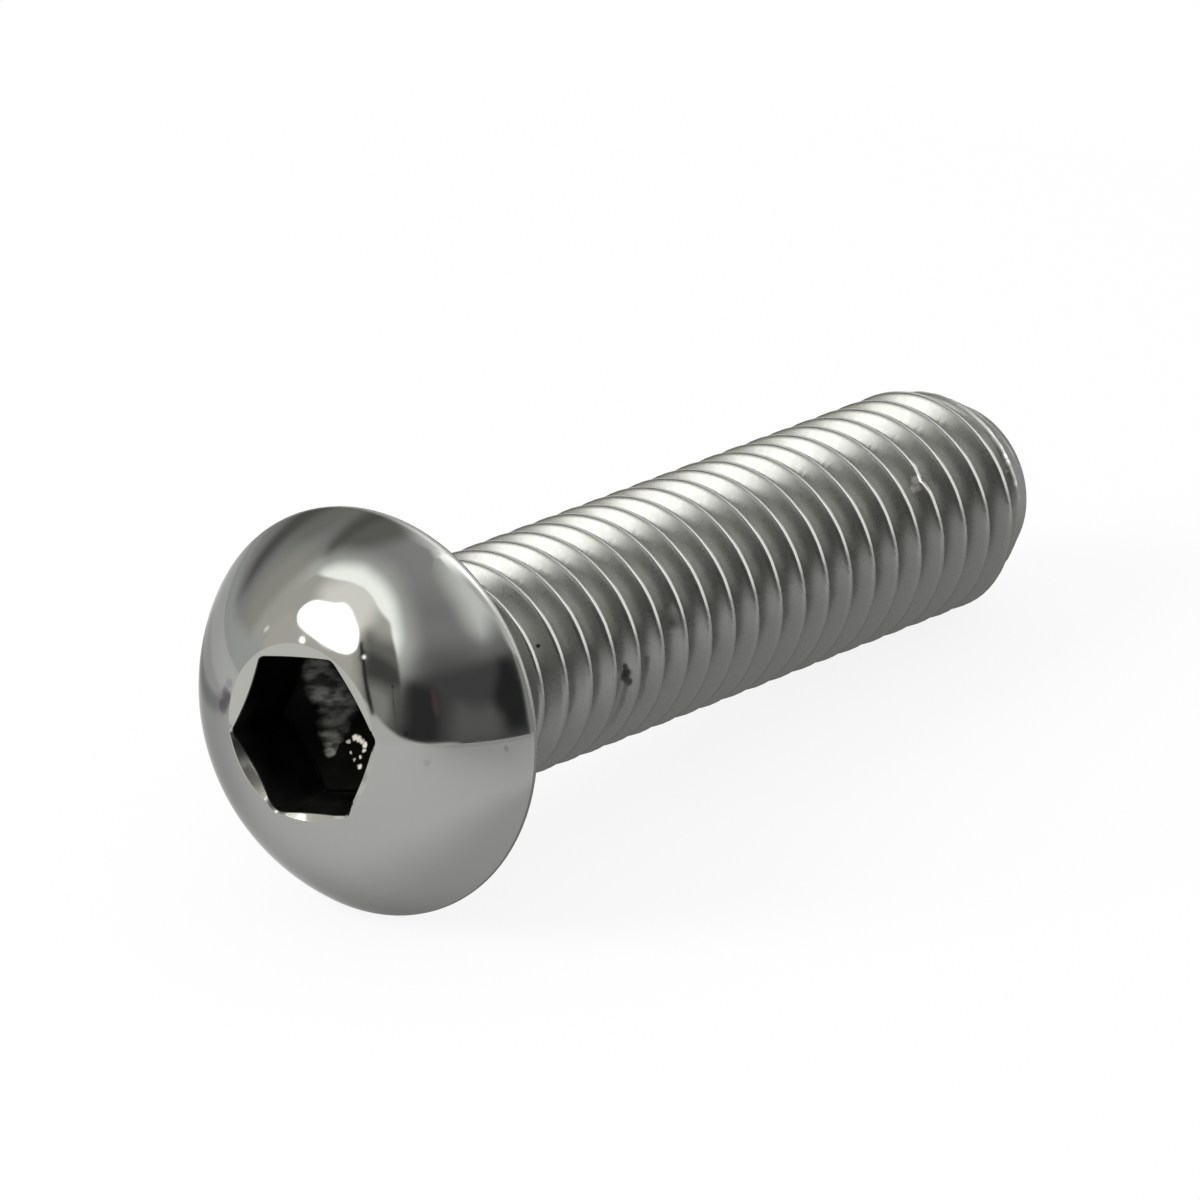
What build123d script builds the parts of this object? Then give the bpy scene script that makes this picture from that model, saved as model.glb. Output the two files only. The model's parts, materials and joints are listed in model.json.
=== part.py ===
from build123d import *
from math import acos, asin, atan2, ceil, cos, degrees, radians, sin, sqrt, tan
import os

os.makedirs("parts", exist_ok=True)

# Button head socket screw, M6 x 1, 25 mm under the head, resting on its head rim and its thread.
# The origin is the middle of the bearing face; the axis runs towards +X and dips by the lean.

# Thread: ring ridges with the real section at the real pitch
thread_diameter = 5.9
pitch = 1.0
thread_angle = 60
length = 25.0

# Neck and run-out
neck_diameter = 5.3
neck_length = 1.1
neck_chamfer = 0.35
run_out = 0.4

# Point
point_diameter = 4.3
point_length = 1.62

# Head
head_diameter = 10.4
crown_height = 3.25
rim_chamfer = 0.13

# Socket
across_flats = 4.0
corner_radius = 0.2
socket_roll = 11.6
socket_floor = 0.6
floor_cone_angle = 120
countersink_diameter = 4.72
countersink_angle = 120

# Ridge section: a flat crest an eighth of the pitch wide over flanks that meet in the groove
crest_radius = thread_diameter / 2
half_crest = pitch / 16
thread_depth = (pitch / 2 - half_crest) / tan(radians(thread_angle / 2))
groove_radius = crest_radius - thread_depth

neck_radius = neck_diameter / 2
head_radius = head_diameter / 2
thread_start = neck_length + run_out
point_start = length - point_length
last_crest = point_start - half_crest
crest_count = ceil((last_crest - neck_length) / pitch + 0.5)

# Dome: a sphere on the axis, from the top of the rim chamfer to the crown
dome_rise = crown_height - rim_chamfer
dome_radius = (dome_rise ** 2 + head_radius ** 2) / (2 * dome_rise)
dome_centre = crown_height - dome_radius
rim_angle = degrees(asin((rim_chamfer - dome_centre) / dome_radius))

# Countersink mouth on the dome
mouth_radius = countersink_diameter / 2
mouth_angle = degrees(acos(mouth_radius / dome_radius))
mouth_height = dome_centre + sqrt(dome_radius ** 2 - mouth_radius ** 2)
countersink_apex = mouth_height - mouth_radius / tan(radians(countersink_angle / 2))

# Lean of the screw lying on its rim and on the end of the full thread
lean = atan2(head_radius - crest_radius, point_start + rim_chamfer)

head_plane = Plane(origin=(0, 0, 0), x_dir=(0, 1, 0), z_dir=(-cos(lean), 0, sin(lean)))
profile_plane = Plane(origin=(0, 0, 0), x_dir=(sin(lean), 0, cos(lean)), z_dir=(0, -1, 0))
screw_axis = Axis((0, 0, 0), (-cos(lean), 0, sin(lean)))

with BuildPart() as button_head_screw:
    # Half section: radius across, height above the bearing face up
    with BuildSketch(profile_plane):
        # Thread ridges, counted back from the point to the neck
        with Locations(*[(0, turn * pitch - last_crest) for turn in range(crest_count)]):
            Polygon(
                (0, pitch / 2),
                (groove_radius, pitch / 2),
                (crest_radius, half_crest),
                (crest_radius, -half_crest),
                (groove_radius, -pitch / 2),
                (0, -pitch / 2),
                align=None,
            )
        # Solid point, then the cut of the point chamfer and the run-out
        Polygon(
            (0, -last_crest),
            (crest_radius, -last_crest),
            (crest_radius, -length),
            (0, -length),
            align=None,
        )
        Polygon(
            (0, -neck_length),
            (neck_radius, -neck_length),
            (crest_radius, -thread_start),
            (crest_radius, -point_start),
            (point_diameter / 2, -length),
            (0, -length),
            align=None,
            mode=Mode.INTERSECT,
        )
        # Neck, rim, dome and countersink
        with BuildLine():
            Polyline(
                (0, countersink_apex),
                (0, -neck_length),
                (neck_radius, -neck_length),
                (neck_radius, -neck_chamfer),
                (neck_radius + neck_chamfer, 0),
                (head_radius - rim_chamfer, 0),
                (head_radius, rim_chamfer),
            )
            CenterArc((0, dome_centre), dome_radius, rim_angle, mouth_angle - rim_angle)
            Line((mouth_radius, mouth_height), (0, countersink_apex))
        make_face()
    revolve(axis=screw_axis)

    # Hexagon socket with rounded corners
    with BuildSketch(head_plane.offset(crown_height)):
        hexagon = RegularPolygon(across_flats / 2, 6, major_radius=False, rotation=socket_roll)
        fillet(hexagon.vertices(), corner_radius)
    extrude(amount=socket_floor - crown_height, mode=Mode.SUBTRACT)

    # Conical socket floor
    with BuildSketch(profile_plane):
        Polygon(
            (0, socket_floor),
            (across_flats / 2, socket_floor),
            (0, socket_floor - across_flats / 2 / tan(radians(floor_cone_angle / 2))),
            align=None,
        )
    revolve(axis=screw_axis, mode=Mode.SUBTRACT)

button_head_screw.part.label = "button_head_screw"
export_step(button_head_screw.part, "parts/button_head_screw.step")
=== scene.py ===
import json
import math

import bmesh
import bpy
import numpy as np
from mathutils import Matrix, Vector


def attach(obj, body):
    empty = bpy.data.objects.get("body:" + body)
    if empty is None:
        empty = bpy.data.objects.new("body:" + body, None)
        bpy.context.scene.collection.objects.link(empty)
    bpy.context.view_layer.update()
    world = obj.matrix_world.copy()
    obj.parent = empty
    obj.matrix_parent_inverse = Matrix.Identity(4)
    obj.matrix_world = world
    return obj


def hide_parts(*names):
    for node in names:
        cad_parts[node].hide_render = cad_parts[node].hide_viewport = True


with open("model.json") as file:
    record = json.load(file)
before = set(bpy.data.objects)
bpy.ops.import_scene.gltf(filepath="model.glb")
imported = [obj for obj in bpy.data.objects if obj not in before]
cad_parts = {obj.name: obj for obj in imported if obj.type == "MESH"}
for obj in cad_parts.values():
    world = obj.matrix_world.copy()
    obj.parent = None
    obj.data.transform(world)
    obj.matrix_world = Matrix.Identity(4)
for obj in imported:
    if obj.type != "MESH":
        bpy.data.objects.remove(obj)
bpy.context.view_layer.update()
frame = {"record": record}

mm = 0.001
mounts = {mount["name"]: mount for mount in frame["record"]["mounts"]}
threadRadius = mounts["shank"]["dims"]["r_mm"]
axis = Vector(mounts["bearing_face"]["axis"]).normalized()   # from the head towards the point
side = Vector((0, 1, 0))
up = axis.cross(side)
print("frame loaded")


# The screw's form in mm and degrees. Heights go from the bearing face towards the crown, and what
# is along goes from the bearing face towards the point.
screw = {
    "headRadius": 5.2,
    "crownHeight": 3.25,
    "rimRadius": 0.13,
    "acrossFlats": 3.9,
    "socketCorner": 0.25,
    "socketEdge": 0.045,
    "cornerTurn": 48.36,          # a socket corner, turned about the axis from the +Y side
    "wallBottom": 0.6,            # height at which the flats end
    "floorSlope": 30,
    "mouthRadius": 2.25,
    "mouthShift": (0.04, 0.095),  # of the countersink off the hexagon's middle, to the side and up
    "mouthLeast": 0.07,           # least width of the countersink
    "mouthSlope": (23, 8, 300),   # its mean slope, the swing of it and the steepest place
    "neckRadius": 2.65,
    "neckLength": 1.0,
    "neckFillet": 0.35,
    "pitch": 1.0,
    "length": 25.0,
    "crestAtUp": 2.927,           # along the upper side to one of the crests
    "crestFlat": 0.15,
    "crestRounding": (0.08, 0.08),   # on the head's side and on the point's side
    "flankTurn": 30,              # of each flank, from square to the axis
    "runOut": 0.8,
    "pointRadius": 2.15,
    "pointLength": 1.62,
    "pointRounding": 0.14,
}

# Rings of the head's mesh, as shares of the way across each face or as a count
headSteps = {
    "floor": (0.05, 0.15, 0.3, 0.45, 0.6, 0.75, 0.88, 0.96, 1),
    "wall": (0.02, 0.15, 0.3, 0.45, 0.6, 0.75, 0.9, 0.97),
    "edge": (0, 0.2, 0.4, 0.6, 0.8, 1),
    "countersink": (0.15, 0.4, 0.7, 0.9, 1),
    "dome": (0.006, 0.02, *np.linspace(0.05, 1, 40)),
    "rim": 9,
    "bearing": (0.04, 0.3, 0.6, 0.96),
    "fillet": 7,
}
columns = {"perFlat": 25, "packing": 0.6}   # packed closer together at the socket's corners


def columnAngles():
    steps = np.arange(columns["perFlat"]) / columns["perFlat"]
    packed = steps - columns["packing"] * np.sin(2 * np.pi * steps) / (2 * np.pi)
    turns = np.concatenate([packed + flat for flat in range(6)]) / 6
    return np.radians(screw["cornerTurn"]) + 2 * np.pi * turns


angles = columnAngles()


def surfacePoint(along, radius, angle):
    # angles go round the axis from the +Y side to the upper side
    return [axis[i] * along + (side[i] * np.cos(angle) + up[i] * np.sin(angle)) * radius for i in range(3)]


def socketRadius(angle):
    # a hexagon with rounded corners
    apothem = screw["acrossFlats"] / 2
    corner = screw["socketCorner"]
    halfFlat = np.pi / 6
    local = np.mod(angle - np.radians(screw["cornerTurn"]) + halfFlat, 2 * halfFlat) - halfFlat
    flat = apothem / np.cos(halfFlat - np.abs(local))
    centre = (apothem - corner) / np.cos(halfFlat)
    arc = centre * np.cos(local) + np.sqrt(np.maximum(corner ** 2 - (centre * np.sin(local)) ** 2, 0))
    arcEnd = halfFlat - math.atan2((apothem - corner) * math.tan(halfFlat), apothem)
    return np.where(np.abs(local) < arcEnd, arc, flat)


def mouthRadiusAt(angle):
    # the countersink's mouth is a circle a little off the axis
    sideShift, upShift = screw["mouthShift"]
    shift = math.hypot(sideShift, upShift)
    turn = angle - math.atan2(upShift, sideShift)
    circle = shift * np.cos(turn) + np.sqrt(screw["mouthRadius"] ** 2 - (shift * np.sin(turn)) ** 2)
    return np.maximum(circle, socketRadius(angle) + screw["mouthLeast"])


def mouthSlopeAt(angle):
    # the punch leaned over, so the countersink is steeper on one side
    mean, swing, steepest = np.radians(screw["mouthSlope"])
    return mean + swing * np.cos(angle - steepest)


def floorHeight(radius):
    # a drilled cone under the flats
    inwards = screw["acrossFlats"] / 2 - radius
    return screw["wallBottom"] - inwards * math.tan(math.radians(screw["floorSlope"]))


# The dome is one arc that runs smoothly into the rim's small arc
rimCentre = screw["headRadius"] - screw["rimRadius"]
domeRise = screw["crownHeight"] - screw["rimRadius"]
domeCentre = (domeRise ** 2 - rimCentre ** 2 - screw["rimRadius"] ** 2) / 2 / (domeRise - screw["rimRadius"])
domeRadius = screw["crownHeight"] - domeCentre
rimTurn = math.atan2(screw["rimRadius"] - domeCentre, rimCentre)


def domeHeight(radius):
    return domeCentre + np.sqrt(domeRadius ** 2 - radius ** 2)


def headRings():
    # (finish, height, radius) of each ring, from the socket's floor over the dome to the neck
    socket = socketRadius(angles)
    mouth = mouthRadiusAt(angles)
    slope = mouthSlopeAt(angles)
    mouthTop = domeHeight(mouth)
    edgeTop = mouthTop - (mouth - socket) * np.tan(slope)
    floorEdge = floorHeight(socket)
    edge = screw["socketEdge"]
    rings = [("floor", floorHeight(socket * share), socket * share) for share in headSteps["floor"]]
    for share in headSteps["wall"]:
        rings.append(("wall", floorEdge + (edgeTop - edge - floorEdge) * share, socket))
    for share in headSteps["edge"]:
        turn = (math.pi / 2 - slope) * share
        rings.append(("wall", edgeTop - edge + edge * np.sin(turn), socket + edge * (1 - np.cos(turn))))
    _, startTop, startRadius = rings[-1]
    for share in headSteps["countersink"]:
        rings.append(("mouth", startTop + (mouthTop - startTop) * share,
                      startRadius + (mouth - startRadius) * share))
    mouthTurn = np.arccos(mouth / domeRadius)
    for share in headSteps["dome"]:
        turn = mouthTurn + (rimTurn - mouthTurn) * share
        rings.append(("head", domeCentre + domeRadius * np.sin(turn), domeRadius * np.cos(turn)))
    for turn in np.linspace(rimTurn, -math.pi / 2, headSteps["rim"])[1:]:
        rings.append(("rim", screw["rimRadius"] * (1 + math.sin(turn)),
                      rimCentre + screw["rimRadius"] * math.cos(turn)))
    filletCentre = screw["neckRadius"] + screw["neckFillet"]
    for share in headSteps["bearing"]:
        rings.append(("thread", 0, rimCentre + (filletCentre - rimCentre) * share))
    for turn in np.linspace(math.pi / 2, math.pi, headSteps["fillet"]):
        rings.append(("thread", -screw["neckFillet"] * (1 - math.sin(turn)),
                      filletCentre + screw["neckFillet"] * math.cos(turn)))
    return rings


# Wear on the thread: mm along, degrees from the +Y side, half sizes along and around, depth
wear = {
    "crestNick": (20.08, 139.5, 0.13, 0.24, 0.08),
    "crestPit": (6.9, 182.5, 0.1, 0.14, 0.12),
    "flankDot": (3.5, 149.5, 0.05, 0.05, 0.05),
    "crestDent": (8.93, 160, 0.08, 0.25, 0.04),
    "tipDent": (23.6, 128, 0.12, 0.5, 0.09),
}

# Small waves on the crests and on the point: lengths in mm, waves per turn, radians per mm
crestWaves = {"height": 0.004, "perTurn": (41.3, 27.7), "reach": 0.06}
pointWaves = {"height": 0.008, "perTurn": (47, 19), "perMm": (7.5, 13), "fade": 0.2}


def wornDepth(along, angle):
    depth = np.zeros(np.shape(along))
    for place, turned, halfAlong, halfAround, deepest in wear.values():
        around = threadRadius * (np.mod(angle - math.radians(turned) + np.pi, 2 * np.pi) - np.pi)
        apart = ((along - place) / halfAlong) ** 2 + (around / halfAround) ** 2
        depth += deepest * np.exp(-apart ** 2)
    return depth


def crestWave(along, angle, depth):
    # the crest's small unevenness, which follows it round and round
    turned = 2 * np.pi * np.round(along / screw["pitch"]) + angle
    first, second = crestWaves["perTurn"]
    wave = np.sin(first * turned) * np.sin(second * turned)
    return crestWaves["height"] * (1 + wave) * np.clip(1 - depth / crestWaves["reach"], 0, 1)


def pointWave(along, angle):
    # the turned cone of the point is rougher
    start = screw["length"] - screw["pointLength"]
    first, second = pointWaves["perTurn"]
    firstMm, secondMm = pointWaves["perMm"]
    wave = np.sin(first * angle + firstMm * along) * np.sin(second * angle - secondMm * along)
    fade = pointWaves["fade"]
    share = np.clip((along - start) / fade, 0, 1) * (along < screw["length"] - fade)
    return pointWaves["height"] * (1 + wave) * share


# The metric thread's section, from the height of its triangle without flats
sharpHeight = screw["pitch"] * math.sqrt(3) / 2
rootDepth = sharpHeight * 17 / 24
rootArc = sharpHeight / 6
flankTurn = math.radians(screw["flankTurn"])

# Rows of one turn, as shares of the pitch from a crest, closer together where the section bends
profileSteps = np.array((0, 0.025, 0.04, 0.055, 0.075, 0.09, 0.2, 0.375, 0.42, 0.46, 0.5, 0.54, 0.58, 0.625,
                         0.71, 0.8, 0.865, 0.885, 0.905, 0.925, 0.945, 0.965, 0.985))
spareTurns = 2      # turns of rows past the neck and past the point, which fold onto the ends
pointSteps = {"rounding": (0, 25, 45, 62, 76, 90), "face": (0.985, 0.8, 0.55, 0.3, 0.1)}


def threadDepth(along):
    # depth below the crest at a distance along from a crest's middle
    past = (np.mod(along / screw["pitch"] + 0.5, 1) - 0.5) * screw["pitch"]
    half = np.abs(past)
    flank = (half - screw["crestFlat"] / 2) / math.tan(flankTurn)
    rounding = np.where(past < 0, *screw["crestRounding"])
    crest = np.where(flank > -rounding, (np.maximum(flank + rounding, 0)) ** 2 / (4 * rounding), 0)
    depth = np.where(flank < rounding, crest, flank)
    fromRoot = screw["pitch"] / 2 - half
    arc = rootDepth - rootArc + np.sqrt(np.maximum(rootArc ** 2 - fromRoot ** 2, 0))
    return np.where(fromRoot < rootArc * math.cos(flankTurn), arc, depth)


def pointRadiusAt(along):
    # a cone at the point, rounded into the end face
    start = screw["length"] - screw["pointLength"]
    cone = threadRadius - (along - start) * (threadRadius - screw["pointRadius"]) / screw["pointLength"]
    rounding = screw["pointRounding"]
    into = np.clip(along - (screw["length"] - rounding), 0, rounding)
    return np.where(along < start, threadRadius, cone - rounding + np.sqrt(rounding ** 2 - into ** 2))


def shankRadius(along, angle):
    crestAt = screw["crestAtUp"] + (angle - math.pi / 2) / (2 * math.pi) * screw["pitch"]
    depth = threadDepth(along - crestAt)
    radius = threadRadius - depth - crestWave(along - crestAt, angle, depth)
    # crests rise out of the neck while the roots sink below it
    share = np.clip((along - screw["neckLength"]) / screw["runOut"], 0, 1)
    neck = screw["neckRadius"]
    radius = np.minimum(radius, neck + (threadRadius - neck) * share)
    radius = np.maximum(radius, neck - (neck - threadRadius + rootDepth) * share)
    return np.minimum(radius, pointRadiusAt(along) - pointWave(along, angle)) - wornDepth(along, angle)


def threadGrid():
    # how far along each point lies: the rows follow the helix and stop at the neck and at the end
    pitch = screw["pitch"]
    turns = int(screw["length"] / pitch) + 2 * spareTurns
    start = screw["crestAtUp"] - pitch * (math.floor(screw["crestAtUp"] / pitch) + spareTurns)
    along = np.concatenate([start + (turn + profileSteps) * pitch for turn in range(turns)])
    helix = (angles - math.pi / 2) / (2 * math.pi) * pitch
    grid = along[:, None] + helix[None, :]
    return np.clip(grid, screw["neckLength"], screw["length"] - screw["pointRounding"])


def endRings():
    # (along, radius) of the rings round the point's edge and in over its end face
    rounding, length = screw["pointRounding"], screw["length"]
    places = length - rounding * (1 - np.sin(np.radians(pointSteps["rounding"])))
    rings = [(along, pointRadiusAt(along)) for along in places]
    last = rings[-1][1]
    return rings + [(length, last * share) for share in pointSteps["face"]]


# Finishes, named for the faces that take them: edge is the colour at a grazing angle, roughness
# wanders between two values, scales are per metre and grainHeight is in mm. The rim, the socket's
# wall and the socket's floor are darker copies of the same steel, as painted shade.
steel = {
    "head": {"color": (0.362, 0.366, 0.351), "edge": (0.6, 0.6, 0.6), "roughness": (0.035, 0.07),
             "mottleScale": 2200, "grainScale": (90, 90, 90), "grainHeight": 0.0015},
    # the rim: the steel darkened to hold down its highlight, painted shade
    "rim": {"color": (0.25, 0.253, 0.243), "edge": (0.4, 0.4, 0.4), "roughness": (0.45, 0.5),
            "mottleScale": 2200, "grainScale": (90, 90, 90), "grainHeight": 0.0015},
    "mouth": {"color": (0.43, 0.43, 0.4), "edge": (0.6, 0.6, 0.6), "roughness": (0.06, 0.15),
              "mottleScale": 3000, "grainScale": (1500, 1500, 1500), "grainHeight": 0.002},
    # the socket's wall and floor: the steel darkened to near black, painted shade in the socket
    "wall": {"color": (0.06, 0.061, 0.057), "edge": (0.2, 0.2, 0.2), "roughness": (0.35, 0.6),
             "mottleScale": 900, "grainScale": (1500, 1500, 1500), "grainHeight": 0.004},
    "floor": {"color": (0.004, 0.004, 0.0037), "edge": (0.05, 0.05, 0.05), "roughness": (0.35, 0.55),
              "mottleScale": 1200, "grainScale": (1500, 1500, 1500), "grainHeight": 0.004},
    "thread": {"color": (0.285, 0.288, 0.273), "edge": (0.5, 0.5, 0.5), "roughness": (0.267, 0.303),
               "mottleScale": 6000, "grainScale": (900, 200, 200), "grainHeight": 0.001},
    "point": {"color": (0.285, 0.288, 0.273), "edge": (0.5, 0.5, 0.5), "roughness": (0.3, 0.45),
              "mottleScale": 3500, "grainScale": (2500, 2500, 2500), "grainHeight": 0.004},
}
weld = {"points": 0.0005, "slivers": 0.0002}   # mm within which points join and slivers go


def addObject(name, data):
    thing = bpy.data.objects.new(name, data)
    bpy.context.scene.collection.objects.link(thing)
    return thing


def screwMesh():
    points, faces, finishes = [], [], []
    finishNames = list(steel)
    count = len(angles)

    def addRing(along, radius):
        first = len(points)
        x, y, z = surfacePoint(along, radius, angles)
        points.extend(zip(x * mm, y * mm, z * mm))
        return range(first, first + count)

    def addFace(corners, finish):
        faces.append(corners)
        finishes.append(finishNames.index(finish))

    def bridge(inner, outer, finish):
        for column in range(count):
            after = (column + 1) % count
            addFace((inner[column], inner[after], outer[after], outer[column]), finish)

    def cap(centreAlong, ring, finish):
        points.append(tuple(axis * centreAlong * mm))
        for column in range(count):
            addFace((len(points) - 1, ring[(column + 1) % count], ring[column]), finish)

    head = [(finish, addRing(-height, radius)) for finish, height, radius in headRings()]
    cap(-floorHeight(0), head[0][1], "floor")
    for (_, inner), (finish, outer) in zip(head, head[1:]):
        bridge(inner, outer, finish)
    bridge(head[-1][1], addRing(screw["neckLength"], screw["neckRadius"]), "thread")

    grid = threadGrid()
    radii = shankRadius(grid, np.broadcast_to(angles, grid.shape))
    rows = [addRing(along, radius) for along, radius in zip(grid, radii)]
    finishAt = np.where(grid > screw["length"] - screw["pointLength"], "point", "thread")
    for row, (near, far) in enumerate(zip(rows, rows[1:])):
        for column in range(count - 1):
            addFace((near[column], near[column + 1], far[column + 1], far[column]), finishAt[row, column])
        # the last column meets the first one of the next turn
        if row + 1 + len(profileSteps) < len(rows):
            nextNear, nextFar = rows[row + len(profileSteps)], rows[row + 1 + len(profileSteps)]
            addFace((near[-1], nextNear[0], nextFar[0], far[-1]), finishAt[row, -1])

    ends = [addRing(along, radius) for along, radius in endRings()]
    for inner, outer in zip(ends, ends[1:]):
        bridge(inner, outer, "point")
    cap(screw["length"], ends[-1], "point")

    mesh = bpy.data.meshes.new("buttonHeadScrew")
    mesh.from_pydata(points, [], faces)
    mesh.polygons.foreach_set("material_index", finishes)
    work = bmesh.new()
    work.from_mesh(mesh)
    bmesh.ops.remove_doubles(work, verts=work.verts, dist=weld["points"] * mm)
    bmesh.ops.dissolve_degenerate(work, edges=work.edges, dist=weld["slivers"] * mm)
    loose = [vertex for vertex in work.verts if not vertex.link_faces]
    bmesh.ops.delete(work, geom=loose, context="VERTS")
    bmesh.ops.recalc_face_normals(work, faces=work.faces)
    openEdges = sum(1 for edge in work.edges if len(edge.link_faces) != 2)
    work.to_mesh(mesh)
    work.free()
    mesh.shade_smooth()
    triangles = sum(len(face.vertices) - 2 for face in mesh.polygons)
    print("screw mesh:", triangles, "triangles,", openEdges, "open edges")
    return mesh


screwPiece = addObject("button_head_screw_look", screwMesh())
screwPiece.modifiers.new("faceNormals", "WEIGHTED_NORMAL")
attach(screwPiece, "root")
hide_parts("button_head_screw")
print("screw built")


# Marks and painted light on the finishes, in layers. A spot is (place, place, half size in mm,
# strength). The places are to the side and up from the axis on the socket's floor and on the head,
# and mm along and degrees from the +Y side on the shank.

def floorPlace(sideways, upwards):
    return side * sideways + up * upwards - axis * floorHeight(math.hypot(sideways, upwards))


def domePlace(sideways, upwards):
    return side * sideways + up * upwards - axis * float(domeHeight(math.hypot(sideways, upwards)))


def shankPlace(along, degrees):
    angle = math.radians(degrees)
    return Vector(surfacePoint(along, float(shankRadius(along, angle)), angle))


def flankShadowStreak(along, firstDegrees, lastDegrees, radius, strength):
    # spots of painted shadow, a spot every 2 degrees, following the helix and fading along it
    spots = []
    for degrees in range(firstDegrees, lastDegrees, 2):
        share = (lastDegrees - degrees) / (lastDegrees - firstDegrees)
        turned = (degrees - firstDegrees) / 360
        spots.append((along + turned * screw["pitch"], degrees, radius, strength * share))
    return spots


marksAndPaintedLight = {
    "floor": [
        # painted light: a lighter streaky band along one side of the socket's floor
        {"place": floorPlace, "color": (0.22, 0.22, 0.205), "wanderScale": 2500, "wander": 0.4,
         "streaks": (0.42, 0.42, 0.2),
         "spots": [(1.4, 0.8, 0.5, 0.8), (1.25, 0.3, 0.55, 0.8), (1.0, -0.1, 0.5, 0.7), (1.0, -0.5, 0.4, 0.8),
                   (1.0, -0.9, 0.26, 1.2), (0.96, -1.2, 0.18, 2.2)]},
        {"place": floorPlace, "color": (0.002, 0.002, 0.002), "wanderScale": 9000, "wander": 0.1,
         "spots": [(1.47, -0.2, 0.11, 0.9)]},
        # painted highlights: small bright sparkles on the socket's floor
        {"place": floorPlace, "color": (0.95, 0.92, 0.84), "wanderScale": 9000, "wander": 0.12,
         "spots": [(0.44, -0.83, 0.09, 1), (0.34, -0.84, 0.09, 1), (0.24, -0.88, 0.08, 1),
                   (0.13, -0.94, 0.08, 1), (0.56, -0.95, 0.06, 0.6), (0.09, -1.06, 0.06, 0.8),
                   (0.12, -1.22, 0.05, 0.7), (0.26, -1.3, 0.045, 0.5), (0.42, -1.18, 0.045, 0.6),
                   (0.05, -1.42, 0.07, 0.8)]},
    ],
    "head": [
        {"place": domePlace, "color": (0.15, 0.12, 0.16), "wanderScale": 3000, "wander": 0.3,
         "spots": [(2.5, 0.42, 0.26, 0.65), (2.58, 0.12, 0.24, 0.7), (2.4, 0.75, 0.14, 0.35),
                   (-3.39, 0.04, 0.1, 0.2), (-2.4, 1.84, 0.05, 0.8), (-2.9, 0.74, 0.07, 0.7),
                   (-4.79, 0.44, 0.08, 0.4)]},
    ],
    "thread": [
        {"place": shankPlace, "color": (0.02, 0.02, 0.018), "wanderScale": 3000, "wander": 0.2,
         "spots": [(6.97, 180, 0.13, 0.85), (6.98, 183, 0.15, 0.85), (7.0, 186, 0.13, 0.85),
                   (6.94, 177, 0.09, 0.8), (22.2, 103.5, 0.11, 0.7), (20.1, 139.5, 0.12, 0.6)]},
        {"place": shankPlace, "color": (0.02, 0.02, 0.018), "wanderScale": 6000, "wander": 0.05,
         "spots": [(3.8, 149.2, 0.06, 1)]},
        # painted shadow: dark streaks on the flanks, as cast by rolled-over burrs on the crests
        {"place": shankPlace, "color": (0.11, 0.11, 0.105), "wanderScale": 3000, "wander": 0.12,
         "spots": flankShadowStreak(7.9, 178, 226, 0.08, 0.6) + flankShadowStreak(6.98, 188, 226, 0.08, 0.7)},
        {"place": shankPlace, "color": (0.8, 0.77, 0.72), "wanderScale": 9000, "wander": 0.16,
         "spots": [(19.92, 139, 0.15, 0.85), (19.87, 142.5, 0.13, 0.8)]},
    ],
    "point": [
        {"place": shankPlace, "color": (0.55, 0.54, 0.52), "wanderScale": 9000, "wander": 0.15,
         "spots": [(24.2, 131, 0.1, 0.7), (23.9, 138, 0.07, 0.7), (23.84, 143.6, 0.09, 0.9),
                   (23.84, 147.2, 0.07, 0.9), (23.8, 152, 0.06, 0.8), (23.9, 160, 0.09, 0.8),
                   (23.7, 156, 0.05, 0.7)]},
    ],
}
spotFade = (0.5, 1.2)             # shares of a spot's half size at which it starts and ends to fade
mottleRange = (0.35, 0.7)         # noise values between which the roughness changes
streakLook = {"turn": -15, "detail": 6, "from": (0.35, 0.7), "to": (0.15, 1)}


def addNode(tree, kind, inputs, **settings):
    # inputs are plain values or other nodes' outputs
    node = tree.nodes.new(kind)
    for name, value in settings.items():
        setattr(node, name, value)
    for socket, value in inputs.items():
        if isinstance(value, bpy.types.NodeSocket):
            tree.links.new(value, node.inputs[socket])
        else:
            node.inputs[socket].default_value = value
    return node


def addMath(tree, operation, *values, clamp=False):
    inputs = dict(enumerate(values))
    return addNode(tree, "ShaderNodeMath", inputs, operation=operation, use_clamp=clamp).outputs[0]


def addVector(tree, operation, *values):
    return addNode(tree, "ShaderNodeVectorMath", dict(enumerate(values)), operation=operation)


def addNoise(tree, place, scale, detail=3):
    inputs = {"Vector": place, "Scale": scale, "Detail": detail}
    return addNode(tree, "ShaderNodeTexNoise", inputs).outputs


def addRange(tree, value, fromRange, toRange, interpolation="SMOOTHSTEP"):
    inputs = {"Value": value, "From Min": fromRange[0], "From Max": fromRange[1],
              "To Min": toRange[0], "To Max": toRange[1]}
    return addNode(tree, "ShaderNodeMapRange", inputs, interpolation_type=interpolation).outputs["Result"]


def mixColor(tree, share, first, second):
    inputs = {"Factor": share}
    for socket, color in (("A", first), ("B", second)):
        inputs[socket] = (*color, 1) if isinstance(color, tuple) else color
    return addNode(tree, "ShaderNodeMix", inputs, data_type="RGBA").outputs["Result"]


def spotShare(tree, place, layer):
    # the strength of each spot at its middle, fading to 0 past its edge
    total = None
    for first, second, radius, strength in layer["spots"]:
        distance = addVector(tree, "DISTANCE", place, layer["place"](first, second) * mm)
        fade = [radius * share * mm for share in spotFade]
        spot = addRange(tree, distance.outputs["Value"], fade, (strength, 0))
        total = spot if total is None else addMath(tree, "MAXIMUM", total, spot)
    return total


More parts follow.
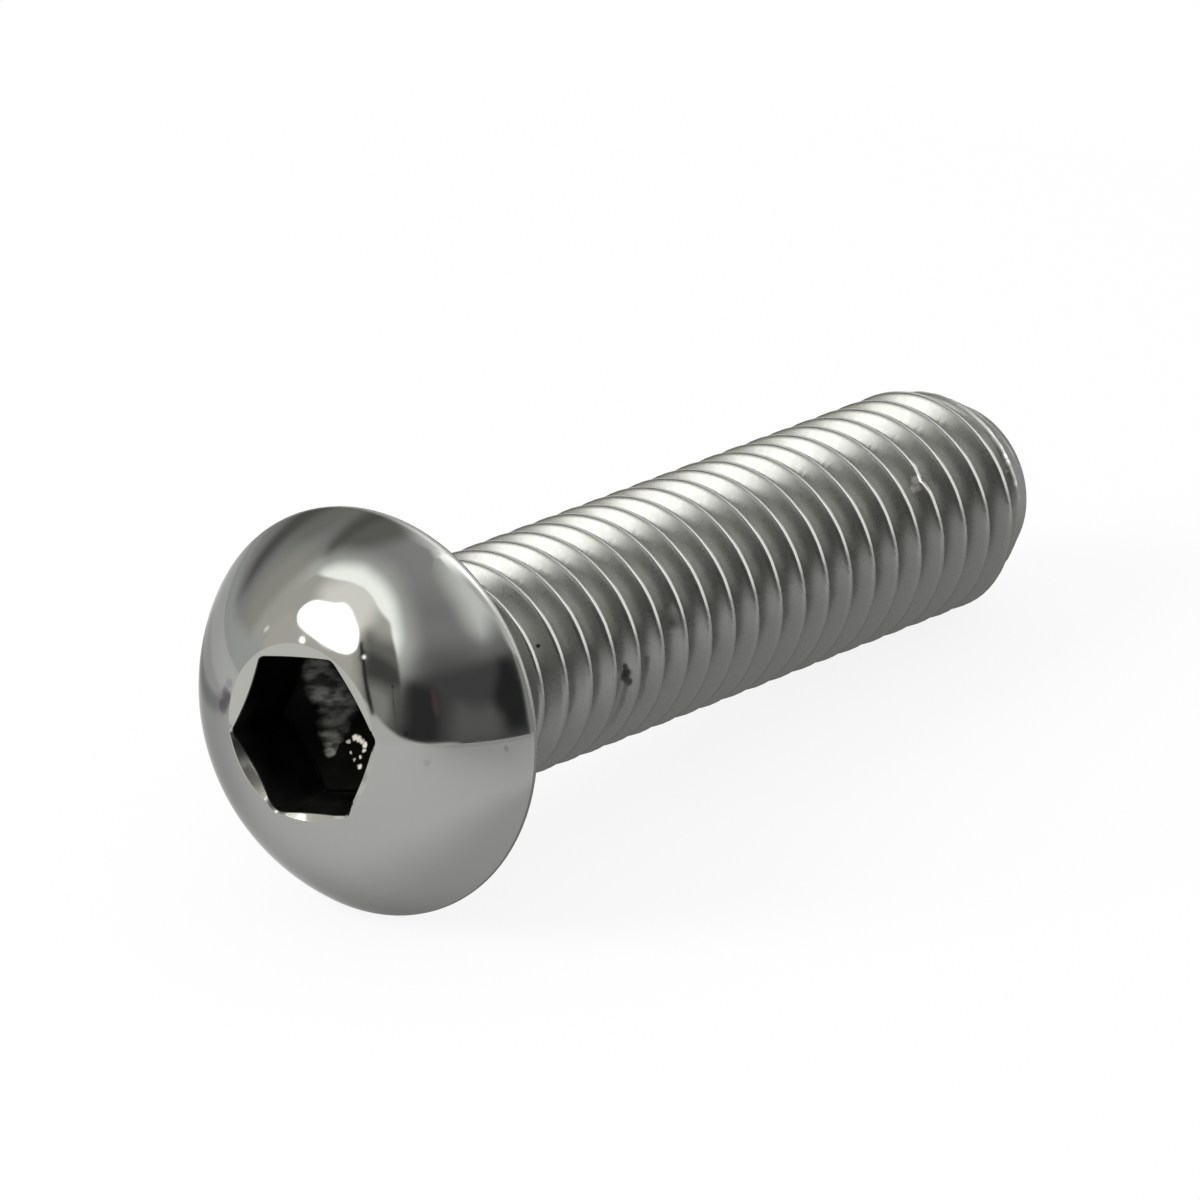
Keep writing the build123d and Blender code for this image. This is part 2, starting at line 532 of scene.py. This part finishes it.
def wanderingPlace(tree, place, scale, reach):
    # places shifted by a noise, so that the marks and the painted light get ragged edges
    noise = addNoise(tree, place, scale)
    shifted = addVector(tree, "MULTIPLY_ADD", noise["Color"], [reach * mm] * 3, place)
    return addVector(tree, "SUBTRACT", shifted.outputs[0], [reach / 2 * mm] * 3).outputs[0]


def streakShare(tree, place, sizes):
    # streaks of the painted light across the socket's floor, with their sizes in mm
    turn = (math.radians(streakLook["turn"]), 0, 0)
    scale = [size * mm for size in sizes]
    stretched = addNode(tree, "ShaderNodeMapping", {"Vector": place, "Rotation": turn, "Scale": scale},
                        vector_type="TEXTURE")
    noise = addNoise(tree, stretched.outputs["Vector"], 1, streakLook["detail"])
    return addRange(tree, noise["Fac"], streakLook["from"], streakLook["to"])


def steelMaterial(name, look, layers):
    material = bpy.data.materials.new(name)
    material.use_nodes = True
    tree = material.node_tree
    surface = tree.nodes["Principled BSDF"].inputs
    surface["Base Color"].default_value = (*look["color"], 1)
    surface["Metallic"].default_value = 1
    surface["Specular Tint"].default_value = (*look["edge"], 1)
    place = addNode(tree, "ShaderNodeTexCoord", {}).outputs["Object"]
    mottle = addNoise(tree, place, look["mottleScale"])["Fac"]
    tree.links.new(addRange(tree, mottle, mottleRange, look["roughness"], "LINEAR"), surface["Roughness"])
    color = look["color"]
    for layer in layers:
        share = spotShare(tree, wanderingPlace(tree, place, layer["wanderScale"], layer["wander"]), layer)
        if "streaks" in layer:
            share = addMath(tree, "MULTIPLY", share, streakShare(tree, place, layer["streaks"]))
        color = mixColor(tree, share, color, layer["color"])
        tree.links.new(color, surface["Base Color"])
    # a fine grain, with its scales along and across the screw's axis
    turn = (0, math.asin(axis[2]), 0)
    inputs = {"Vector": place, "Rotation": turn, "Scale": look["grainScale"]}
    turned = addNode(tree, "ShaderNodeMapping", inputs).outputs["Vector"]
    grain = addNoise(tree, turned, 1)["Fac"]
    inputs = {"Height": grain, "Strength": 1, "Distance": look["grainHeight"] * mm}
    tree.links.new(addNode(tree, "ShaderNodeBump", inputs).outputs["Normal"], surface["Normal"])
    return material


for finish, look in steel.items():
    screwPiece.data.materials.append(steelMaterial(finish + "Steel", look, marksAndPaintedLight.get(finish, [])))
print("steel finished")


# Painted cards: soft-edged shapes laid over a grid of points, which only reflections see
curveSteps = 5      # points of the curve from each corner of an outline to the next


def smoothOutline(corners):
    # a closed curve through the corners
    points = np.array(corners, float)
    before, after, second = np.roll(points, 1, 0), np.roll(points, -1, 0), np.roll(points, -2, 0)
    curve = []
    for share in np.arange(curveSteps) / curveSteps:
        slope = (after - before) * share
        bend = (2 * before - 5 * points + 4 * after - second) * share ** 2
        twist = (3 * points - before - 3 * after + second) * share ** 3
        curve.append(points + (slope + bend + twist) / 2)
    return np.stack(curve, axis=1).reshape(-1, 2)


def cardShare(places, card, turned):
    # 1 inside the outline and 0 outside, with a blend as wide as soft; turned places are in degrees
    outline, soft = smoothOutline(card["outline"]), card["soft"]
    reach = soft * 2 if turned else soft     # a degree of azimuth gets shorter higher up
    low, high = outline.min(0) - (reach, soft), outline.max(0) + (reach, soft)
    x, y = places.T
    if turned:
        x = np.mod(x - low[0], 360) + low[0]
    near = np.flatnonzero((x > low[0]) & (x < high[0]) & (y > low[1]) & (y < high[1]))
    x, y = x[near], y[near]
    narrowing = np.cos(np.radians(y)) if turned else 1
    nearest = np.full(x.shape, np.inf)
    inside = np.zeros(x.shape, bool)
    for (startX, startY), (endX, endY) in zip(outline, np.roll(outline, -1, 0)):
        alongX, alongY = (endX - startX) * narrowing, endY - startY
        fromX, fromY = (x - startX) * narrowing, y - startY
        squared = alongX ** 2 + alongY ** 2 + 1e-9     # never 0
        along = np.clip((fromX * alongX + fromY * alongY) / squared, 0, 1)
        nearest = np.minimum(nearest, np.hypot(fromX - alongX * along, fromY - alongY * along))
        if startY != endY:
            crossing = startX + (y - startY) / (endY - startY) * (endX - startX)
            inside ^= ((startY > y) != (endY > y)) & (x < crossing)
    blend = np.clip(0.5 + np.where(inside, nearest, -nearest) / soft, 0, 1)
    share = np.zeros(len(places))
    share[near] = blend * blend * (3 - 2 * blend)
    return share


def paintCards(places, paint, cards, turned):
    for card in cards.values():
        share = cardShare(places, card, turned)
        if "within" in card:
            share *= cardShare(places, cards[card["within"]], turned)
        paint += (card["strength"] * np.array(card.get("tint", (1, 1, 1))) - paint) * share[:, None]
    return paint


def gridMesh(name, points, count, paint, closed):
    # rings of count points, bridged and with the first one filled, and the last one too if closed
    faces = [tuple(range(count))]
    lastRing = len(points) - count
    for first in range(0, lastRing, count):
        for column in range(count):
            here, after = first + column, first + (column + 1) % count
            faces.append((here, here + count, after + count, after))
    if closed:
        faces.append(tuple(range(lastRing, len(points))))
    mesh = bpy.data.meshes.new(name)
    mesh.from_pydata(points.tolist(), [], faces)
    colors = mesh.color_attributes.new("cardPaint", "FLOAT_COLOR", "POINT")
    colors.data.foreach_set("color", np.concatenate([paint, np.ones((len(paint), 1))], axis=1).ravel())
    return mesh


def emptyTree(owner):
    owner.use_nodes = True
    owner.node_tree.nodes.clear()
    return owner.node_tree


def paintedColor(tree):
    return addNode(tree, "ShaderNodeVertexColor", {}, layer_name="cardPaint").outputs["Color"]


def seenShare(tree, forCamera, forReflection):
    # one share for camera rays and one for glossy and transmission rays
    rays = addNode(tree, "ShaderNodeLightPath", {}).outputs
    reflected = addMath(tree, "MAXIMUM", rays["Is Glossy Ray"], rays["Is Transmission Ray"])
    reflected = addMath(tree, "MULTIPLY", reflected, forReflection)
    return addMath(tree, "MULTIPLY_ADD", rays["Is Camera Ray"], forCamera, reflected, clamp=True)


floorLook = {
    "rings": (0.5, 70, 90),      # first and last radius in mm, and how many rings
    "spread": 1.3,               # above 1 the rings lie closer together in the middle
    "segments": 160,
    "white": 1.0,
    "litColor": (0.8, 0.8, 0.8),
    "shadowSeen": 0.13,          # how much of the shadow the camera sees
    "shadowReflected": 0.3,      # and how much of it the steel reflects
    "fade": (30, 60),            # radii in mm between which the shadow fades out
    # painted shade on the ground: outlines in mm (x, y) round the bearing face, which only reflections see
    "cards": {
        "rightShade": {
            "soft": 26, "strength": 0.6,
            "outline": [(-30, -26), (-52, -47), (-9, -72), (2, -60), (-1, -20), (-8, -17)]},
        "leftShade": {
            "soft": 5, "strength": 0.74,
            "outline": [(12, 26), (10, 4), (-1, 5), (-4, 10), (-6, 20), (-2, 25)]},
        "leftShadowLine": {
            "soft": 2.6, "strength": 0.3,
            "outline": [(10, 17.5), (3, 19), (-2, 21), (-5, 26), (-8.5, 27), (-7.5, 22.5), (-3, 17.5),
                        (1, 15.5), (10, 14.5)]},
        "shadowUnderShank": {
            "soft": 4, "strength": 0.58,
            "outline": [(1, 3), (28, 3), (27, -13), (-1, -13)]},
    },
}


def lowestPoint(piece):
    return min((piece.matrix_world @ vertex.co).z for vertex in piece.data.vertices)


def floorMaterial():
    material = bpy.data.materials.new("paleFloor")
    tree = emptyTree(material)
    # reflections see the ground's painted shade
    tone = mixColor(tree, seenShare(tree, 0, 1), (1, 1, 1), paintedColor(tree))
    lit = addNode(tree, "ShaderNodeBsdfDiffuse", {"Color": (*floorLook["litColor"], 1)}).outputs[0]
    white = addNode(tree, "ShaderNodeEmission", {"Color": tone, "Strength": floorLook["white"]}).outputs[0]
    # far from the screw the ground is white all over, and near it a share of its shadow stays
    place = addNode(tree, "ShaderNodeTexCoord", {}).outputs["Object"]
    distance = addVector(tree, "LENGTH", place).outputs["Value"]
    outward = addRange(tree, distance, [edge * mm for edge in floorLook["fade"]], (0, 1))
    far = addMath(tree, "MULTIPLY", outward, seenShare(tree, 1, 1))
    near = seenShare(tree, 1 - floorLook["shadowSeen"], 1 - floorLook["shadowReflected"])
    share = addMath(tree, "MAXIMUM", near, far)
    surface = addNode(tree, "ShaderNodeMixShader", {0: share, 1: lit, 2: white}).outputs[0]
    addNode(tree, "ShaderNodeOutputMaterial", {"Surface": surface})
    return material


def makeFloor(height):
    segments = floorLook["segments"]
    first, last, rings = floorLook["rings"]
    radii = first + (last - first) * np.linspace(0, 1, rings) ** floorLook["spread"]
    turns = np.arange(segments) / segments * 2 * np.pi
    radius, turn = [values.ravel() for values in np.meshgrid(radii, turns, indexing="ij")]
    places = np.stack([radius * np.cos(turn), radius * np.sin(turn)], axis=1)
    points = np.concatenate([places * mm, np.zeros((len(places), 1))], axis=1)
    paint = paintCards(places, np.ones((len(places), 3)), floorLook["cards"], False)
    mesh = gridMesh("floor", points, segments, paint, False)
    mesh.materials.append(floorMaterial())
    floor = addObject("floor", mesh)
    floor.location = (0, 0, height)


groundHeight = lowestPoint(screwPiece)
makeFloor(groundHeight)
print("floor laid at", round(groundHeight / mm, 3), "mm")


# The studio is a shell that only reflections see, with cards painted on it
studio = {
    "shellRadius": 600,
    "fine": (56, 296, -32, 78),      # azimuths and elevations painted finely
    "steps": (0.75, 3),              # degrees, fine and elsewhere
    "bottom": -89,                   # lowest elevation
    # (elevation, strength) of the plain shell
    "base": [(-90, 0.8), (-8, 0.8), (0, 0.62), (8, 0.5), (36, 0.46), (60, 0.42), (76, 0.52), (90, 0.55)],
    # outlines in degrees (azimuth, elevation) curve through their corners, painted in this order,
    # and within keeps a card inside another
    "cards": {
        "leftDark": {
            "soft": 11, "strength": 0.26, "tint": (0.98, 1, 0.91),
            "outline": [(20, 74), (60, 75), (92, 72), (104, 63), (106, 55), (98, 48), (84, 45), (60, 45),
                        (20, 48)]},
        "leftBand": {
            "soft": 7, "strength": 0.185, "tint": (0.99, 1, 0.93),
            "outline": [(60, 60), (74, 57.5), (86, 53.5), (98, 48.5), (110, 43), (111, 39.8), (100, 43),
                        (88, 46.5), (74, 50), (60, 53)]},
        "leftLow": {
            "soft": 12, "strength": 0.36, "tint": (0.99, 1, 0.93),
            "outline": [(40, 44), (76, 43), (86, 34), (84, 26), (72, 24), (40, 26)]},
        "leftPatch": {
            "soft": 11, "strength": 0.2, "tint": (0.99, 1, 0.95),
            "outline": [(50, 29), (66, 30), (74, 25), (79, 18), (83, 9), (82, 4), (74, 6), (66, 12),
                        (50, 14)]},
        "leftWarm": {
            "soft": 14, "strength": 0.63, "tint": (1.01, 1, 0.92),
            "outline": [(88, 32), (96, 38), (112, 40), (114, 2), (102, 3), (92, 8)]},
        "leftFold": {
            "soft": 7, "strength": 0.84, "tint": (1.01, 1, 0.93),
            "outline": [(104, 42), (111, 41), (120, 44), (122, 20), (122, 2), (107, 2), (106, 20)]},
        "leftGround": {
            "soft": 5, "strength": 0.8, "tint": (0.98, 1, 0.99),
            "outline": [(40, -1), (80, -0.5), (92, 2), (104, 6), (120, 8), (120, -12), (40, -12)]},
        "haze": {
            "soft": 15, "strength": 1.3, "tint": (0.985, 1, 0.98),
            "outline": [(238, 84), (240, 60), (243, 50), (248, 44), (253, 46), (262, 50), (290, 46),
                        (290, 84)]},
        "glowWide": {
            "soft": 17, "strength": 1.1, "tint": (0.985, 1, 0.97),
            "outline": [(106, 46), (110, 55), (121, 63), (138, 68), (152, 69), (168, 67.5), (184, 62.5),
                        (195, 55), (201, 46), (203, 38), (199, 30), (188, 28), (150, 30), (110, 38)]},
        "glow": {
            "soft": 8, "strength": 2.3, "tint": (0.985, 1, 0.975),
            "outline": [(112.5, 47), (117, 54), (125, 60), (138, 63), (150, 64), (163, 63.5), (176, 60.5),
                        (184, 56), (190, 50), (194, 42), (188, 34), (150, 40), (116, 42)]},
        "curtain": {
            "soft": 1.4, "strength": 0.84, "tint": (1.02, 1, 0.94),
            "outline": [(112, 40.5), (116, 43.5), (120, 46.2), (126.7, 50), (133.3, 53.4), (143.3, 56.3),
                        (150, 56.9), (156, 56.7), (163.3, 55.5), (173.3, 53), (180, 51.3), (184, 49.4),
                        (188, 44.5), (193.3, 37), (197, 29), (199.5, 20), (200, 10), (200, -5), (186, -6),
                        (150, -8), (124, 0), (117, 10), (114, 24), (112, 36)]},
        "curtainTop": {
            "soft": 12, "strength": 1.58, "tint": (1.015, 1, 0.955), "within": "curtain",
            "outline": [(124, 48), (133, 60), (150, 62), (166, 60), (170, 50), (168, 40), (150, 36),
                        (126, 40)]},
        "curtainUnder": {
            "soft": 3, "strength": 0.9, "tint": (1.04, 1, 0.93), "within": "curtain",
            "outline": [(120, 26), (132, 26.5), (150, 28), (168, 29), (170, 24), (170, 4), (120, 4)]},
        "curtainShade": {
            "soft": 10, "strength": 0.3, "tint": (1.02, 1, 0.95), "within": "curtain",
            "outline": [(171, 43), (180, 42), (188, 42), (200, 42), (204, 20), (200, -8), (184, 0),
                        (179, 18), (172, 33)]},
        "curtainFold": {
            "soft": 6, "strength": 0.12, "tint": (1.02, 1, 0.96), "within": "curtain",
            "outline": [(178, 34), (186, 33.5), (192, 32), (196, 30), (200, 24), (196, 21), (188, 22.5),
                        (179, 24)]},
        "curtainLow": {
            "soft": 5, "strength": 0.48, "tint": (1, 1, 0.97), "within": "curtain",
            "outline": [(183, 18), (188, 18.5), (193, 15.5), (194, 7), (190, 2), (184, 6)]},
        "roomTop": {
            "soft": 20, "strength": 0.21, "tint": (0.97, 1, 0.97),
            "outline": [(211, 38), (220, 41), (236, 40), (246, 37), (258, 38), (300, 38), (300, -12),
                        (206, -12), (206, 26)]},
        "room": {
            "soft": 9, "strength": 0.12, "tint": (0.98, 1, 0.99),
            "outline": [(200, 22), (207, 26), (222, 30), (246, 32), (280, 31), (290, 20), (290, -12),
                        (200, -12), (198.5, 6)]},
        "roomCorner": {
            "soft": 7, "strength": 0.054, "tint": (0.98, 1, 1.02),
            "outline": [(204, 22), (210, 23), (217, 20), (219, 4), (216, -8), (202, -6), (204, 8)]},
        "roomGlow": {
            "soft": 11, "strength": 0.215, "tint": (0.99, 1, 0.99),
            "outline": [(227, 14), (236, 12), (247, 11), (247, -3), (236, -4), (226, -3)]},
        "roomPost": {
            "soft": 7, "strength": 0.042, "tint": (0.98, 1, 1.05),
            "outline": [(253.5, 31), (261, 27), (262, 2), (258, -2), (252.5, -1), (249.5, 6), (246, 12),
                        (246.5, 18), (250, 25)]},
        "roomRed": {
            "soft": 2.5, "strength": 0.12, "tint": (1.4, 0.9, 0.9),
            "outline": [(215, 21), (216.5, 20), (218.5, 11), (217.5, 9.5), (216, 13)]},
        "edgeStrip": {
            "soft": 2, "strength": 0.48, "tint": (1, 1, 0.98),
            "outline": [(261.6, 84), (262.2, 40), (262.2, -4), (274, -6), (276, 40), (276, 84)]},
        "edgeBright": {
            "soft": 4, "strength": 1.0, "tint": (1, 1, 0.98),
            "outline": [(261, 84), (261.6, 46), (264, 34), (276, 34), (276, 84)]},
        "highWindow": {
            "soft": 12, "strength": 4.8, "tint": (1, 1, 0.99),
            "outline": [(277, 84), (279, 60), (280, 44), (284, 37), (300, 35), (330, 40), (330, 84)]},
        "lowWindow": {
            "soft": 12, "strength": 3.3,
            "outline": [(279, 36), (279, 20), (282, 12), (304, 8), (306, 40), (284, 42)]},
        "sideWindow": {
            "soft": 6, "strength": 2.4,
            "outline": [(312, 2), (345, 2), (344, 27), (310, 29)]},
        "farSide": {
            "soft": 14, "strength": 2.4,
            "outline": [(384, 36), (414, 34), (414, 2), (384, 2)]},
        "farHigh": {
            "soft": 14, "strength": 2.0,
            "outline": [(306, 60), (330, 44), (372, 38), (412, 40), (418, 60), (410, 86), (310, 86)]},
        "farGap": {
            "soft": 8, "strength": 0.6, "tint": (1, 1, 0.98),
            "outline": [(346, 42), (366, 44), (378, 40), (376, 22), (347, 24)]},
        "lamp": {
            "soft": 1.3, "strength": 5.0, "tint": (1, 0.995, 0.99),
            "outline": [(124.3, 31.3), (125, 28.8), (128, 27.2), (131.7, 26.8), (140, 27.6), (150, 28.1),
                        (160, 28.8), (166, 30.1), (168.8, 32.5), (169.2, 35), (167.3, 39), (164, 42),
                        (160, 43.9), (154, 46.1), (149, 46.8), (143.3, 46.2), (139.2, 43.6),
                        (133.3, 40.8), (128.3, 38.2), (125.3, 35)]},
        "lampGlint": {
            "soft": 1.1, "strength": 5, "tint": (1, 1, 0.98),
            "outline": [(135.4, 23.8), (136.6, 24.7), (138.2, 24.6), (138.9, 23.6), (137.8, 22.9),
                        (136, 22.9)]},
        "leftGlint": {
            "soft": 1.2, "strength": 2.2, "tint": (1, 1, 0.98),
            "outline": [(112.8, 13.2), (113.4, 14.8), (114.2, 15.4), (114.4, 14.6), (113.6, 13.2),
                        (113.2, 12.8)]},
        "groundRise": {
            "soft": 1.6, "strength": 0.98, "tint": (1, 1, 0.975),
            "outline": [(170, 16), (183, 12), (188, 7), (192, 3.6), (196, 0.6), (202, -2.6), (212, -4.6),
                        (230, -6), (230, -24), (170, -24)]},
        "cableDot": {
            "soft": 1.3, "strength": 0.2, "tint": (1, 1, 0.95),
            "outline": [(172.6, 33.6), (175.2, 34.5), (178, 33), (178, 30), (175.6, 28.9), (173.2, 30)]},
        "cable": {
            "soft": 1.1, "strength": 0.03,
            "outline": [(170.2, 37.4), (172.2, 36.3), (177.3, 29.2), (180.8, 22.2), (184.3, 15.2),
                        (187.2, 7.8), (186.2, 6.9), (182.7, 13.8), (179.1, 21.2), (175.7, 28.2),
                        (170.8, 35.2)]},
        "cableLight": {
            "soft": 1, "strength": 3.6, "tint": (1, 1, 0.98),
            "outline": [(174.7, 31.8), (175.8, 32.2), (176.6, 31.4), (176.3, 30.8), (175.1, 30.8)]},
        "wireSecond": {
            "soft": 1.1, "strength": 0.14,
            "outline": [(194.2, 22), (195, 22), (198.4, 4), (197.8, 4)]},
    },
}


def directionVector(azimuth, elevation):
    a, e = math.radians(azimuth), math.radians(elevation)
    return Vector((math.cos(a) * math.cos(e), math.sin(a) * math.cos(e), math.sin(e)))


def steppedAngles(low, high, fineLow, fineHigh):
    fine, coarse = studio["steps"]
    return np.concatenate([np.arange(low, fineLow, coarse), np.arange(fineLow, fineHigh, fine),
                           np.arange(fineHigh, high, coarse)])


def makeShell():
    left, right, low, high = studio["fine"]
    azimuths = steppedAngles(left, left + 360, left, right)
    elevations = steppedAngles(studio["bottom"], 90, low, high)
    azimuth, elevation = [values.ravel() for values in np.meshgrid(azimuths, elevations)]
    strength = np.interp(elevation, *zip(*studio["base"]))
    turned = np.stack([azimuth, elevation], axis=1)
    paint = paintCards(turned, np.repeat(strength[:, None], 3, axis=1), studio["cards"], True)
    a, e = np.radians(azimuth), np.radians(elevation)
    points = np.stack([np.cos(a) * np.cos(e), np.sin(a) * np.cos(e), np.sin(e)], axis=1)
    mesh = gridMesh("studioShell", points * studio["shellRadius"] * mm, len(azimuths), paint, True)
    material = bpy.data.materials.new("studioCards")
    tree = emptyTree(material)
    glow = addNode(tree, "ShaderNodeEmission", {"Color": paintedColor(tree)}).outputs[0]
    addNode(tree, "ShaderNodeOutputMaterial", {"Surface": glow})
    material.cycles.emission_sampling = "NONE"
    mesh.materials.append(material)
    shell = addObject("studio_shell", mesh)
    shell.visible_camera = False
    shell.visible_diffuse = False
    shell.visible_shadow = False


world = {"ambient": (0.9, 0.9, 0.9), "seen": (1, 1, 1)}   # what lights the screw and what is seen


def makeWorld():
    sky = bpy.data.worlds.new("studioWorld")
    tree = emptyTree(sky)
    ambient, seen = [addNode(tree, "ShaderNodeBackground", {"Color": (*world[part], 1)}).outputs[0]
                     for part in ("ambient", "seen")]
    inputs = {0: seenShare(tree, 1, 1), 1: ambient, 2: seen}
    surface = addNode(tree, "ShaderNodeMixShader", inputs).outputs[0]
    addNode(tree, "ShaderNodeOutputWorld", {"Surface": surface})
    bpy.context.scene.world = sky


# One large soft lamp, in degrees, mm and watts
keyLight = {"azimuth": 147, "elevation": 36, "distance": 300, "size": 160, "energy": 0.6}


def makeKeyLight():
    light = bpy.data.lights.new("keyLight", "AREA")
    light.shape = "DISK"
    light.size = keyLight["size"] * mm
    light.energy = keyLight["energy"]
    lamp = addObject("keyLight", light)
    toward = directionVector(keyLight["azimuth"], keyLight["elevation"])
    lamp.location = toward * keyLight["distance"] * mm
    lamp.rotation_mode = "QUATERNION"
    lamp.rotation_quaternion = toward.to_track_quat("Z", "Y")
    lamp.visible_glossy = False
    lamp.visible_camera = False


makeShell()
makeWorld()
makeKeyLight()
print("studio lit")


# The camera, with its place in mm from the bearing face
cameraView = {
    "place": (-294.58, -228.51, 163.99),
    "forward": (0.73380, 0.55162, -0.39655),
    "lens": 494.4,
    "sensor": 36,
    "clip": (10, 10000),
}


def makeCamera():
    data = bpy.data.cameras.new("camera")
    data.lens = cameraView["lens"]
    data.sensor_width = cameraView["sensor"]
    data.clip_start, data.clip_end = [distance * mm for distance in cameraView["clip"]]
    forward = Vector(cameraView["forward"]).normalized()
    right = forward.cross(Vector((0, 0, 1))).normalized()
    turn = Matrix((right, right.cross(forward), -forward)).transposed().to_4x4()
    camera = addObject("camera", data)
    camera.matrix_world = Matrix.Translation(Vector(cameraView["place"]) * mm) @ turn
    bpy.context.scene.camera = camera


makeCamera()
bpy.context.scene.view_settings.view_transform = "Standard"
print("camera placed")
